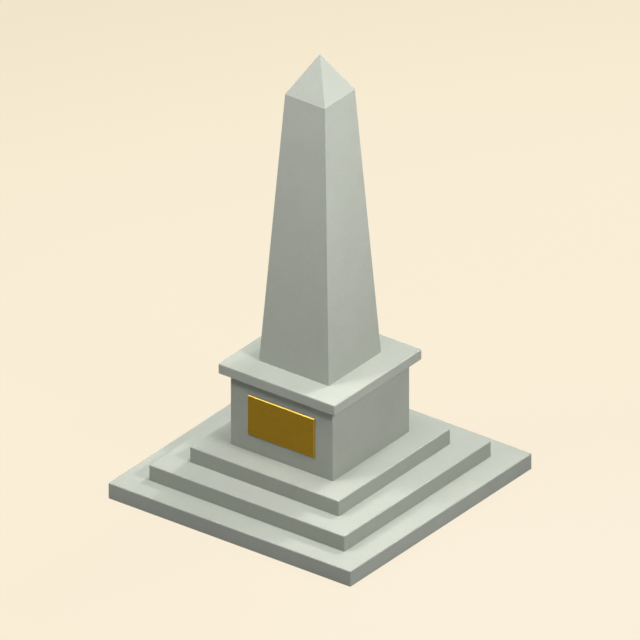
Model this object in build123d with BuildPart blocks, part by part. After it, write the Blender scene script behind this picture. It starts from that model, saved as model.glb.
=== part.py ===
from build123d import *

import os

# A stepped stone obelisk with a bronze plaque, at its real size.
#
# Three square step courses carry a pedestal, a cap slab, a tapered shaft and a pyramidion. Each
# step course is a ring of dressed stones, butt-jointed round a lift of mass concrete that was cast
# inside it. The ring runs one way round in a course and the other way in the next, so that no joint
# stands over another. Every stone above the steps is one block, seated on the one below. The plaque
# is a plain bronze plate on the front of the pedestal.
#
# Frame: millimetres, +Z up, the origin on the ground at the centre of the plan. The front, with the
# plaque, faces -Y, and the right side faces +X.

# ---- driving dimensions, in millimetres ----

# steps
step_rise = 150
tread_depth = 250
bearing_depth = 200  # how far a step stone runs in under the course above
nosing = 10  # radius of the rounded edges of the steps, the pedestal and the cap slab

# pedestal and cap slab
pedestal_side = 1100
pedestal_height = 705
cap_overhang = 75
cap_thickness = 95

# shaft and pyramidion
shaft_foot_side = 750
shaft_head_side = 430
shaft_height = 2605
pyramidion_height = 370
shaft_arris_width = 2  # chamfer on the edges of the shaft and the pyramidion
tip_side = 6  # the point is blunted to a small flat
tip_arris_width = 1

# plaque
plaque_width = 718
plaque_height = 388
plaque_thickness = 12
plaque_foot_height = 164  # from the foot of the pedestal to the lower edge of the plaque
plaque_arris_width = 7  # flat bevel round the front of the plaque

# ---- sizes and levels that follow ----

upper_step_side = pedestal_side + 2 * tread_depth
middle_step_side = upper_step_side + 2 * tread_depth
lower_step_side = middle_step_side + 2 * tread_depth
step_stone_width = tread_depth + bearing_depth
cap_side = pedestal_side + 2 * cap_overhang

middle_step_level = step_rise
upper_step_level = middle_step_level + step_rise
pedestal_level = upper_step_level + step_rise
cap_level = pedestal_level + pedestal_height
shaft_level = cap_level + cap_thickness
pyramidion_level = shaft_level + shaft_height
tip_level = pyramidion_level + pyramidion_height
plaque_level = pedestal_level + plaque_foot_height

SIDES = ("front", "right", "back", "left")
QUARTER_TURN = 90

os.makedirs("parts", exist_ok=True)


# ---- step courses ----


def step_stone(name, course_side, level, quarter, start, length):
    """One stone of a step course, cut from the course's whole nosed block on the side of that quarter."""
    with BuildPart() as stone:
        with BuildSketch(Plane.XY.offset(level)):
            Rectangle(course_side, course_side)
        extrude(amount=step_rise)
        fillet(stone.edges().filter_by(Axis.Z) + stone.faces().sort_by(Axis.Z)[-1].edges(), radius=nosing)
        with BuildSketch(Plane.XY.offset(level).rotated((0, 0, quarter * QUARTER_TURN))):
            with Locations((start, -course_side / 2)):
                Rectangle(length, step_stone_width, align=(Align.MIN, Align.MIN))
        extrude(amount=step_rise, mode=Mode.INTERSECT)
    stone.part.label = name
    export_step(stone.part, f"parts/{name}.step")


def step_course(course, course_side, level, runs_rightward, places):
    """A ring of stones. Each side's run starts at one corner and stops against the next side's run."""
    run = course_side - step_stone_width
    run_start = -course_side / 2 if runs_rightward else -course_side / 2 + step_stone_width
    length = run / len(places)
    for quarter, side in enumerate(SIDES):
        for index, place in enumerate(places):
            name = f"{course}_{side}{place}"
            step_stone(name, course_side, level, quarter, run_start + index * length, length)


def core_lift(name, course_side, level):
    """The concrete inside a ring of step stones, which carries the middle of what stands on it."""
    core_side = course_side - 2 * step_stone_width
    with BuildPart() as core:
        with BuildSketch(Plane.XY.offset(level)):
            Rectangle(core_side, core_side)
        extrude(amount=step_rise)
    core.part.label = name
    export_step(core.part, f"parts/{name}.step")


step_course("lower_step", lower_step_side, 0, True, ("_corner", "_middle"))
step_course("middle_step", middle_step_side, middle_step_level, False, ("",))
step_course("upper_step", upper_step_side, upper_step_level, True, ("",))

core_lift("lower_core", lower_step_side, 0)
core_lift("middle_core", middle_step_side, middle_step_level)
core_lift("upper_core", upper_step_side, upper_step_level)


# ---- pedestal and cap slab ----

with BuildPart() as pedestal:
    with BuildSketch(Plane.XY.offset(pedestal_level)):
        Rectangle(pedestal_side, pedestal_side)
    extrude(amount=pedestal_height)
    fillet(pedestal.edges().filter_by(Axis.Z), radius=nosing)
pedestal.part.label = "pedestal"
export_step(pedestal.part, "parts/pedestal.step")

with BuildPart() as cap_slab:
    with BuildSketch(Plane.XY.offset(cap_level)):
        Rectangle(cap_side, cap_side)
    extrude(amount=cap_thickness)
    fillet(cap_slab.edges().filter_by(Axis.Z) + cap_slab.faces().sort_by(Axis.Z)[-1].edges(), radius=nosing)
cap_slab.part.label = "cap_slab"
export_step(cap_slab.part, "parts/cap_slab.step")


# ---- shaft and pyramidion ----

with BuildPart() as shaft:
    with BuildSketch(Plane.XY.offset(shaft_level)) as shaft_foot:
        Rectangle(shaft_foot_side, shaft_foot_side)
        chamfer(shaft_foot.vertices(), length=shaft_arris_width)
    with BuildSketch(Plane.XY.offset(pyramidion_level)) as shaft_head:
        Rectangle(shaft_head_side, shaft_head_side)
        chamfer(shaft_head.vertices(), length=shaft_arris_width)
    loft(ruled=True)
shaft.part.label = "shaft"
export_step(shaft.part, "parts/shaft.step")

with BuildPart() as pyramidion:
    with BuildSketch(Plane.XY.offset(pyramidion_level)) as shoulder:
        Rectangle(shaft_head_side, shaft_head_side)
        chamfer(shoulder.vertices(), length=shaft_arris_width)
    with BuildSketch(Plane.XY.offset(tip_level)) as tip:
        Rectangle(tip_side, tip_side)
        chamfer(tip.vertices(), length=tip_arris_width)
    loft(ruled=True)
pyramidion.part.label = "pyramidion"
export_step(pyramidion.part, "parts/pyramidion.step")


# ---- plaque ----

with BuildPart() as plaque:
    with BuildSketch(Plane.XZ.offset(pedestal_side / 2)):
        with Locations((0, plaque_level)):
            Rectangle(plaque_width, plaque_height, align=(Align.CENTER, Align.MIN))
    extrude(amount=plaque_thickness)
    chamfer(plaque.faces().sort_by(Axis.Y)[0].edges(), length=plaque_arris_width)
plaque.part.label = "plaque"
export_step(plaque.part, "parts/plaque.step")
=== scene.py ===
import math
import random

import bmesh
import bpy
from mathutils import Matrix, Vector


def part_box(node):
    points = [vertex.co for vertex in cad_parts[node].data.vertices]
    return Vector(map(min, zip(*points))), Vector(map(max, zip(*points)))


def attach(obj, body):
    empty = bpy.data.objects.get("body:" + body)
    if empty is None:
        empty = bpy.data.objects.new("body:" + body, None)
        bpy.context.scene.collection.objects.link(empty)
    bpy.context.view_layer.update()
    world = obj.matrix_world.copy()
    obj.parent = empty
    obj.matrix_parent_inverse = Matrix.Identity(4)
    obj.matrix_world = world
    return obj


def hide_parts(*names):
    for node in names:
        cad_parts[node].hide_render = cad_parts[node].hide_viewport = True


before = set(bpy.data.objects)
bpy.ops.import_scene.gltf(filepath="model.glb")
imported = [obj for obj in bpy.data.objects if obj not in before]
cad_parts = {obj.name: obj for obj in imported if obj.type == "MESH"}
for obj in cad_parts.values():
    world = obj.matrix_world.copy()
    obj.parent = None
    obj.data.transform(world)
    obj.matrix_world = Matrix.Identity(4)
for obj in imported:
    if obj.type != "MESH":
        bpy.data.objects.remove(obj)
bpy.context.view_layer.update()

# A stepped granite obelisk with a bronze plaque, dressed as a mason and a foundry would finish it.
# Every stone is modelled again on the box of its CAD solid, with the solid's rounded nosings and
# flat cuts. The stones of the steps, the pedestal and the cap slab also get the fine arris that a
# banker mason leaves along a joint. The cores keep their CAD meshes. Sizes are in metres, but for
# the marks and grain of the materials, which are in millimetres.

MM = 0.001
ONE_TURN = 2 * math.pi
SIDES = ("front", "right", "back", "left")

# edges as in the CAD source
NOSING = 10 * MM  # radius of the rounded edges of the steps, the pedestal and the cap slab
SHAFT_ARRIS = 2 * MM  # flat cut along the slanting edges of the shaft
TIP_ARRIS = 1 * MM
TIP_SIDE = 6 * MM  # the blunt tip of the pyramidion
PLAQUE_ARRIS = 7 * MM  # flat bevel round the front of the plaque

# edges finer than the CAD source has
JOINT_ARRIS = 0.7 * MM  # eases the stones below the shaft, so that their joints are hairlines
PLAQUE_EASING = 0.6 * MM  # polishing softens every edge of the plaque by this much

# how edges and faces are worked and told apart
NOSING_FACETS = 7
EASING_FACETS = 2
ARC = 0.5  # the bevel profile that is part of a circle
SQUARE_ENOUGH = math.radians(50)  # an edge that turns by this or more is still square
BEVELLED = math.radians(40)  # an edge of a 45 degree bevel turns by more than this
SMOOTH_ANGLE = math.radians(35)  # an edge that turns by less than this is shaded smooth
STRAIGHT_ON = 0.99  # a normal with this much of its length along an axis points that way
NEAR = 0.2 * MM  # how close two coordinates are when they are the same

random.seed(11)  # the stones' tones


# ---------------------------------------------------------------- modelling

def deselect_all():
    bpy.ops.object.select_all(action="DESELECT")


def block(name, node):
    """A cube primitive on a CAD solid's box, left in edit mode with nothing selected."""
    deselect_all()
    low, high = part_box(node)
    centre, size = (low + high) / 2, high - low
    bpy.ops.mesh.primitive_cube_add(size=1, location=centre, scale=size)
    piece = bpy.context.active_object
    piece.name = piece.data.name = name
    bpy.ops.object.transform_apply(location=True, rotation=True, scale=True)
    bpy.ops.object.mode_set(mode="EDIT")
    bpy.ops.mesh.select_mode(type="EDGE")
    bpy.ops.mesh.select_all(action="DESELECT")
    return piece


def pick_edges(piece, wanted):
    """Selects the edges whose two ends, a and b, wanted(a, b) accepts."""
    bpy.ops.mesh.select_mode(type="EDGE")
    bpy.ops.mesh.select_all(action="DESELECT")
    mesh = bmesh.from_edit_mesh(piece.data)
    for edge in mesh.edges:
        if wanted(edge.verts[0].co, edge.verts[1].co):
            edge.select_set(True)
    bmesh.update_edit_mesh(piece.data)


def pick_faces(piece, wanted):
    """Selects the faces that wanted(face) accepts."""
    bpy.ops.mesh.select_mode(type="FACE")
    bpy.ops.mesh.select_all(action="DESELECT")
    mesh = bmesh.from_edit_mesh(piece.data)
    mesh.normal_update()
    for face in mesh.faces:
        if wanted(face):
            face.select_set(True)
    bmesh.update_edit_mesh(piece.data)


def bevel_picked(width, facets):
    """Rounds the selected edges off in that many facets. One facet is a flat cut."""
    bpy.ops.mesh.bevel(
        offset=width, offset_type="OFFSET", segments=facets, profile=ARC, affect="EDGES")


def ease_sharp_edges(width, least_turn=SQUARE_ENOUGH):
    """Takes the sharpness off every edge whose faces still turn by that angle or more."""
    bpy.ops.mesh.select_mode(type="EDGE")
    bpy.ops.mesh.select_all(action="DESELECT")
    bpy.ops.mesh.edges_select_sharp(sharpness=least_turn)
    bevel_picked(width, EASING_FACETS)


def give_own_tone(mesh):
    """Every stone has one tone from 0 to 1, the same all over it, which its granite reads."""
    tones = mesh.attributes.get("stone") or mesh.attributes.new("stone", "FLOAT", "POINT")
    own_tone = random.random()
    for point in tones.data:
        point.value = own_tone


def finish_piece(piece, material, slot_name, *nodes):
    """Back from edit mode: smooth curves beside flat faces, a material and a body. The slot name is
    not used.
    """
    bpy.ops.object.mode_set(mode="OBJECT")
    deselect_all()
    piece.select_set(True)
    bpy.context.view_layer.objects.active = piece
    bpy.ops.object.shade_smooth_by_angle(angle=SMOOTH_ANGLE)
    bpy.ops.object.modifier_add(type="WEIGHTED_NORMAL")
    weighted = piece.modifiers[-1]
    weighted.keep_sharp = True
    bpy.ops.object.modifier_apply(modifier=weighted.name)
    piece.data.materials.clear()
    piece.data.materials.append(material)
    if material is granite:
        give_own_tone(piece.data)
    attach(piece, "root")
    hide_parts(*nodes)


def same(a, b):
    return abs(a - b) < NEAR


def upright(a, b):
    """Whether the edge from a to b stands upright."""
    return same(a.x, b.x) and same(a.y, b.y)


def level_at(height):
    """A test for edges that lie level at that height."""
    return lambda a, b: same(a.z, height) and same(b.z, height)


def step_stone(node, half_side):
    """One stone of a step course: nosed along the course's outline, eased along its joints."""
    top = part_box(node)[1].z
    stone = block(f"granite_{node}", node)

    def on_outline(a, b):
        along_front = same(abs(a.y), half_side) and same(a.y, b.y)
        along_side = same(abs(a.x), half_side) and same(a.x, b.x)
        if upright(a, b):
            return along_front and along_side
        return (along_front or along_side) and level_at(top)(a, b)

    pick_edges(stone, on_outline)
    bevel_picked(NOSING, NOSING_FACETS)
    ease_sharp_edges(JOINT_ARRIS)
    return stone


def quarter_copy(stone, quarter, name):
    """A front stone's copy, with its own mesh, turned to another side and left in edit mode."""
    deselect_all()
    copy = stone.copy()
    copy.data = stone.data.copy()
    copy.name = copy.data.name = name
    bpy.context.collection.objects.link(copy)
    copy.select_set(True)
    bpy.context.view_layer.objects.active = copy
    copy.rotation_euler.z = quarter * ONE_TURN / 4
    bpy.ops.object.transform_apply(location=False, rotation=True, scale=False)
    bpy.ops.object.mode_set(mode="EDIT")
    return copy


def step_course(course, places, material):
    """The ring of stones of one step: the front's stones modelled once and turned to each side."""
    half_side = -min(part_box(f"{course}_front{place}")[0].y for place in places)
    for place in places:
        model = step_stone(f"{course}_front{place}", half_side)
        finish_piece(model, material, "granite", f"{course}_front{place}")
        for quarter, side in enumerate(SIDES[1:], start=1):
            node = f"{course}_{side}{place}"
            stone = quarter_copy(model, quarter, f"granite_{node}")
            finish_piece(stone, material, "granite", node)


def tapered_block(node, head_side, arris):
    """A square block that narrows to head_side, with a flat cut along its slanting edges."""
    low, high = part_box(node)
    stone = block(f"granite_{node}", node)
    pick_faces(stone, lambda face: face.normal.z > STRAIGHT_ON)
    draw_in = head_side / (high.x - low.x)
    bpy.ops.transform.resize(value=(draw_in, draw_in, 1), center_override=(0, 0, high.z))
    pick_edges(stone, lambda a, b: not same(a.z, b.z))
    bevel_picked(arris, 1)
    return stone


# ---------------------------------------------------------------- materials

def linear(hex_colour):
    """The linear red, green, blue and alpha of an sRGB hex colour, by the sRGB curve."""
    parts = [int(hex_colour[i:i + 2], 16) / 255 for i in (1, 3, 5)]
    return [p / 12.92 if p <= 0.04045 else ((p + 0.055) / 1.055) ** 2.4 for p in parts] + [1]


def dimmed(hex_colour, share):
    """That share of a hex colour's brightness, as linear red, green, blue and alpha."""
    return [part * share for part in linear(hex_colour)[:3]] + [1]


def new_material(name):
    material = bpy.data.materials.new(name)
    material.use_nodes = True
    material.node_tree.nodes.clear()
    return material, material.node_tree


def add(tree, kind, inputs=None, **settings):
    """Adds a node: settings are its own properties, inputs are values or other nodes' sockets."""
    node = tree.nodes.new(kind)
    for name, value in settings.items():
        setattr(node, name, value)
    for socket, value in (inputs or {}).items():
        if isinstance(value, bpy.types.NodeSocket):
            tree.links.new(value, node.inputs[socket])
        else:
            node.inputs[socket].default_value = value
    return node


def per_metre(millimetres):
    """The scale of a pattern whose marks are that wide."""
    return 1 / (millimetres * MM)


# granite, in millimetres
CLOUD_WIDTH = 220  # about a hand
GRAIN_WIDTH = 12  # the crystals are 2 to 4 mm, and this is the finest that shows
AXE_MARK_WIDTH = 6  # the marks are about 3 mm apart, and are drawn coarser so that they show
AXE_MARK_DEPTH = 0.4
# its tone is one part cloud, and these parts of grain and of the stone's own tone
GRAIN_SHARE = 2.0
STONE_SHARE = 0.3
MIDDLE_TONE = (1 + GRAIN_SHARE + STONE_SHARE) / 2
TONE_REACH = 0.45  # how far from the middle the darkest and the palest tone are
PATTERN_SHIFT = (20, 20, 20)  # metres that the pattern moves by on a stone of tone 1


def fine_axed_granite():
    """Pale grey-green granite, fine-axed: flat, matt and even, with a fine grain close by."""
    material, tree = new_material("granite, fine-axed")
    place = add(tree, "ShaderNodeTexCoord").outputs["Object"]
    # every stone has its own tone, and its own part of the pattern
    stone = add(tree, "ShaderNodeAttribute", attribute_name="stone").outputs["Fac"]
    own_place = add(tree, "ShaderNodeVectorMath", {0: stone, 1: PATTERN_SHIFT, 2: place},
                    operation="MULTIPLY_ADD").outputs[0]
    # clouds of paler and darker stone, and the crystals
    cloud = add(tree, "ShaderNodeTexNoise", {
        "Vector": own_place, "Scale": per_metre(CLOUD_WIDTH),
        "Detail": 3, "Roughness": 0.55}).outputs["Fac"]
    grain = add(tree, "ShaderNodeTexNoise", {
        "Vector": own_place, "Scale": per_metre(GRAIN_WIDTH),
        "Detail": 2, "Roughness": 0.6}).outputs["Fac"]
    mottle = add(tree, "ShaderNodeMath", {0: grain, 1: GRAIN_SHARE, 2: cloud},
                 operation="MULTIPLY_ADD").outputs[0]
    tone = add(tree, "ShaderNodeMath", {0: stone, 1: STONE_SHARE, 2: mottle},
               operation="MULTIPLY_ADD").outputs[0]
    spread = add(tree, "ShaderNodeMapRange", {
        "Value": tone, "From Min": MIDDLE_TONE - TONE_REACH, "From Max": MIDDLE_TONE + TONE_REACH})
    ramp = add(tree, "ShaderNodeValToRGB", {"Fac": spread.outputs["Result"]})
    ramp.color_ramp.elements[0].color = linear("#A8ACA2")
    ramp.color_ramp.elements[1].color = linear("#B0B4AA")
    # axe marks
    marks = add(tree, "ShaderNodeTexNoise", {
        "Vector": own_place, "Scale": per_metre(AXE_MARK_WIDTH), "Detail": 2}).outputs["Fac"]
    bump = add(tree, "ShaderNodeBump", {
        "Strength": 0.1, "Distance": AXE_MARK_DEPTH * MM, "Height": marks})
    shader = add(tree, "ShaderNodeBsdfPrincipled", {
        "Base Color": ramp.outputs["Color"], "Roughness": 0.9, "IOR": 1.5,
        "Specular IOR Level": 0.1, "Normal": bump.outputs["Normal"]})
    add(tree, "ShaderNodeOutputMaterial", {"Surface": shader.outputs["BSDF"]})
    return material


CEMENT_PATCH_WIDTH = 90  # concrete, in millimetres


def cast_concrete():
    """Grey mass concrete, cast: dull, in soft patches of cement. It shows only from below."""
    material, tree = new_material("concrete, cast")
    place = add(tree, "ShaderNodeTexCoord").outputs["Object"]
    cloud = add(tree, "ShaderNodeTexNoise", {
        "Vector": place, "Scale": per_metre(CEMENT_PATCH_WIDTH), "Detail": 4})
    ramp = add(tree, "ShaderNodeValToRGB", {"Fac": cloud.outputs["Fac"]})
    ramp.color_ramp.elements[0].color = linear("#8A8A84")
    ramp.color_ramp.elements[1].color = linear("#A5A49D")
    shader = add(tree, "ShaderNodeBsdfPrincipled", {
        "Base Color": ramp.outputs["Color"], "Roughness": 0.95, "IOR": 1.5})
    add(tree, "ShaderNodeOutputMaterial", {"Surface": shader.outputs["BSDF"]})
    return material


# bronze: the lines that rubbing leaves, in millimetres
LINE_WIDTH = 3  # real ones are a tenth of this, too fine to show
LINE_DEPTH = 0.1
LINE_STRETCH = 0.05  # they are 20 times as long as they are wide
LINE_CONTRAST = 0.09  # how much darker and paler than the metal's colour they are
DARK_LINE, PALE_LINE = 0.3, 0.7  # where the noise reaches the darkest and the palest


def bronze(name, colour, roughness):
    """Lacquered bronze, rubbed lengthways: fine paler and darker lines catch the light a little."""
    material, tree = new_material(name)
    place = add(tree, "ShaderNodeTexCoord").outputs["Object"]
    along = add(tree, "ShaderNodeMapping", {"Vector": place, "Scale": (LINE_STRETCH, 1, 1)})
    lines = add(tree, "ShaderNodeTexNoise", {
        "Vector": along.outputs["Vector"], "Scale": per_metre(LINE_WIDTH),
        "Detail": 2}).outputs["Fac"]
    ramp = add(tree, "ShaderNodeValToRGB", {"Fac": lines})
    darker, paler = ramp.color_ramp.elements
    darker.position, darker.color = DARK_LINE, dimmed(colour, 1 - LINE_CONTRAST)
    paler.position, paler.color = PALE_LINE, dimmed(colour, 1 + LINE_CONTRAST)
    bump = add(tree, "ShaderNodeBump", {
        "Strength": 0.3, "Distance": LINE_DEPTH * MM, "Height": lines})
    shader = add(tree, "ShaderNodeBsdfPrincipled", {
        "Base Color": ramp.outputs["Color"], "Metallic": 1.0, "Roughness": roughness,
        "Normal": bump.outputs["Normal"]})
    add(tree, "ShaderNodeOutputMaterial", {"Surface": shader.outputs["BSDF"]})
    return material


granite = fine_axed_granite()
concrete = cast_concrete()
bronze_face = bronze("bronze, brushed and lacquered", "#927824", 0.75)
bronze_edge_and_highlight = bronze("bronze, polished, painted paler", "#A38842", 0.35)  # its paler colour is a painted highlight; being polished, it also catches the lamps

# ---------------------------------------------------------------- stones

step_course("lower_step", ("_corner", "_middle"), granite)
step_course("middle_step", ("",), granite)
step_course("upper_step", ("",), granite)

pedestal = block("granite_pedestal", "pedestal")
pick_edges(pedestal, upright)
bevel_picked(NOSING, NOSING_FACETS)
ease_sharp_edges(JOINT_ARRIS)
finish_piece(pedestal, granite, "granite", "pedestal")

cap_slab = block("granite_cap_slab", "cap_slab")
cap_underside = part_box("cap_slab")[0].z
pick_edges(cap_slab, lambda a, b: not level_at(cap_underside)(a, b))
bevel_picked(NOSING, NOSING_FACETS)
ease_sharp_edges(JOINT_ARRIS)
finish_piece(cap_slab, granite, "granite", "cap_slab")

shaft_head_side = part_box("pyramidion")[1].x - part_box("pyramidion")[0].x
shaft = tapered_block("shaft", shaft_head_side, SHAFT_ARRIS)
finish_piece(shaft, granite, "granite", "shaft")

pyramidion_arris = (SHAFT_ARRIS + TIP_ARRIS) / 2  # one width all along, midway between its ends
pyramidion = tapered_block("pyramidion", TIP_SIDE, pyramidion_arris)
finish_piece(pyramidion, granite, "granite", "pyramidion")

for course in ("lower", "middle", "upper"):
    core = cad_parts[f"{course}_core"]
    core.data.materials.clear()
    core.data.materials.append(concrete)

# ---------------------------------------------------------------- plaque

plaque_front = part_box("plaque")[0].y
plaque = block("bronze_plaque", "plaque")
pick_edges(plaque, lambda a, b: same(a.y, plaque_front) and same(b.y, plaque_front))
bevel_picked(PLAQUE_ARRIS, 1)
ease_sharp_edges(PLAQUE_EASING, BEVELLED)
finish_piece(plaque, bronze_face, "bronze", "plaque")
plaque.data.materials.append(bronze_edge_and_highlight)  # all of it but the front: the bevels and sides, painted paler as a highlight
for face in plaque.data.polygons:
    face.material_index = 0 if face.normal.y < -STRAIGHT_ON else 1

# ---------------------------------------------------------------- floor and backdrop

# cream, palest under the key light and deeper with the distance in metres from there: a painted
# pool of the key light's light and its falloff
PAINTED_LIGHT_POOL_CENTRE = (4.4, -1.0, 0)
CREAM_BY_DISTANCE = ((2.5, "#FAEFDA"), (4.0, "#FAEED8"), (6.8, "#FAEED6"), (8.8, "#FAEED6"),
                     (9.8, "#FAEDD5"), (10.8, "#F8ECD2"), (12.8, "#F4E8CE"))
NEAR_CREAM = CREAM_BY_DISTANCE[0][1]
FURTHEST, FAR_CREAM = CREAM_BY_DISTANCE[-1]
SHADED_SHARE = 0.04  # how much of the floor's brightness is lit, so that it keeps a faint shadow
FLOOR_LIGHT = 1.5  # what the lamps give it, so that its glow and its lit share add up to the cream
BOUNCE = 0.361  # how pale the floor is to the light that it throws back at the stone
FLOOR_SIDE = 120
FLOOR_DROP = 0.2 * MM  # it lies this far under the ground, clear of the stones' undersides


def seen_directly(tree):
    """1 for what the camera sees, straight, mirrored or through glass, and 0 for other light."""
    path = add(tree, "ShaderNodeLightPath").outputs
    seen = path["Is Camera Ray"]
    for ray in ("Is Glossy Ray", "Is Transmission Ray"):
        seen = add(tree, "ShaderNodeMath", {0: seen, 1: path[ray]}, operation="MAXIMUM").outputs[0]
    return seen


def cream_floor():
    """Matt cream floor that glows where it is seen, so that only a faint shadow lies on it. Its
    glow holds a painted pool of light under the key light.
    """
    material, tree = new_material("floor, cream")
    place = add(tree, "ShaderNodeTexCoord").outputs["Object"]
    # the glow is painted paler near the key light's foot, as a pool of its light
    distance = add(tree, "ShaderNodeVectorMath", {0: place, 1: PAINTED_LIGHT_POOL_CENTRE}, operation="DISTANCE")
    reach = add(tree, "ShaderNodeMath", {0: distance.outputs["Value"], 1: FURTHEST},
                operation="DIVIDE")
    cream = add(tree, "ShaderNodeValToRGB", {"Fac": reach.outputs[0]})
    stops = cream.color_ramp.elements
    while len(stops) < len(CREAM_BY_DISTANCE):
        stops.new(0.5)  # anywhere: each stop gets its place below
    for stop, (metres, colour) in zip(stops, CREAM_BY_DISTANCE):
        stop.position = metres / FURTHEST
        stop.color = linear(colour)
    glow = add(tree, "ShaderNodeEmission", {
        "Color": cream.outputs["Color"], "Strength": 1 - FLOOR_LIGHT * SHADED_SHARE}).outputs[0]
    lit_share = dimmed(NEAR_CREAM, SHADED_SHARE)
    paint = add(tree, "ShaderNodeBsdfDiffuse", {"Color": lit_share}).outputs[0]
    as_seen = add(tree, "ShaderNodeAddShader", {0: glow, 1: paint}).outputs[0]
    as_lit = add(tree, "ShaderNodeBsdfDiffuse", {"Color": (BOUNCE, BOUNCE, BOUNCE, 1)})
    pick = add(tree, "ShaderNodeMixShader", {
        0: seen_directly(tree), 1: as_lit.outputs[0], 2: as_seen})
    add(tree, "ShaderNodeOutputMaterial", {"Surface": pick.outputs[0]})
    return material


deselect_all()
bpy.ops.mesh.primitive_plane_add(size=FLOOR_SIDE, location=(0, 0, -FLOOR_DROP))
floor = bpy.context.active_object
floor.name = "floor"
bpy.ops.object.transform_apply(location=True, rotation=True, scale=True)
floor.data.materials.append(cream_floor())

# ---------------------------------------------------------------- overhead light

# strongest straight above and gone at the horizon
OVERHEAD_STRENGTH = 1.03
OVERHEAD_NARROWING = 7  # the power of the height above the horizon that it falls off with
WHITE = (1, 1, 1, 1)

world = bpy.data.worlds.new("studio")
bpy.context.scene.world = world
world.use_nodes = True
sky = world.node_tree
sky.nodes.clear()
direction = add(sky, "ShaderNodeTexCoord").outputs["Generated"]
height = add(sky, "ShaderNodeSeparateXYZ", {0: direction}).outputs["Z"]
above = add(sky, "ShaderNodeMath", {0: height, 1: 0}, operation="MAXIMUM").outputs[0]
falloff = add(sky, "ShaderNodeMath", {0: above, 1: OVERHEAD_NARROWING}, operation="POWER")
strength = add(sky, "ShaderNodeMath", {0: falloff.outputs[0], 1: OVERHEAD_STRENGTH},
               operation="MULTIPLY")
overhead = add(sky, "ShaderNodeBackground", {"Color": WHITE, "Strength": strength.outputs[0]})
backdrop = add(sky, "ShaderNodeBackground", {"Color": linear(FAR_CREAM), "Strength": 1.0})
pick = add(sky, "ShaderNodeMixShader", {
    0: seen_directly(sky), 1: overhead.outputs[0], 2: backdrop.outputs[0]})
add(sky, "ShaderNodeOutputWorld", {"Surface": pick.outputs[0]})

# ---------------------------------------------------------------- lights

LIT_POINT = Vector((0, 0, 1.5))  # on the middle line, a little above the cap slab


def softbox(name, place, side, watts):
    """A square lamp that faces the lit point."""
    lamp = bpy.data.lights.new(name, "AREA")
    lamp.shape = "SQUARE"
    lamp.size = side
    lamp.energy = watts
    holder = bpy.data.objects.new(name, lamp)
    bpy.context.collection.objects.link(holder)
    holder.location = place
    holder.rotation_euler = (Vector(place) - LIT_POINT).to_track_quat("Z", "Y").to_euler()


# small, from the right: clear shadows of the shaft and the pedestal
softbox("key_light", (4.48, -0.91, 4.89), 0.60, 194)
# the front and the plaque, from high on the left, and softer from nearly above
softbox("front_light", (-3.53, -5.57, 8.79), 2.11, 417)
softbox("front_fill", (-1.84, -2.05, 11.11), 4.00, 194)
# the back, from high up: a small lamp for clear shadows and a wide one that softens them
softbox("back_light", (2.03, 8.14, 14.38), 0.89, 548)
softbox("back_fill", (2.24, 7.75, 15.87), 5.07, 847)
# the treads, the cap slab and the pyramidion, from above
softbox("top_light", (1.62, -0.94, 10.30), 2.50, 140)
# the left side and the back, which the others miss, from low down
softbox("left_light", (-10.55, -0.74, 4.53), 2.50, 167)
softbox("low_back_light", (-0.37, 10.62, 4.35), 2.50, 203)

# ---------------------------------------------------------------- camera

AZIMUTH = math.radians(36.87)  # to the right of the front
ELEVATION = math.radians(29.3)
AIM_HEIGHT = 1.608  # the height on the middle line that it looks at
VIEW_WIDTH = 5.498
CAMERA_DISTANCE = 14

camera_data = bpy.data.cameras.new("camera")
camera_data.type = "ORTHO"
camera_data.ortho_scale = VIEW_WIDTH
camera = bpy.data.objects.new("camera", camera_data)
bpy.context.collection.objects.link(camera)
level_reach = math.cos(ELEVATION)
towards_camera = Vector(
    (math.sin(AZIMUTH) * level_reach, -math.cos(AZIMUTH) * level_reach, math.sin(ELEVATION)))
camera.location = Vector((0, 0, AIM_HEIGHT)) + towards_camera * CAMERA_DISTANCE
camera.rotation_euler = towards_camera.to_track_quat("Z", "Y").to_euler()
bpy.context.scene.camera = camera

bpy.context.scene.view_settings.view_transform = "Standard"
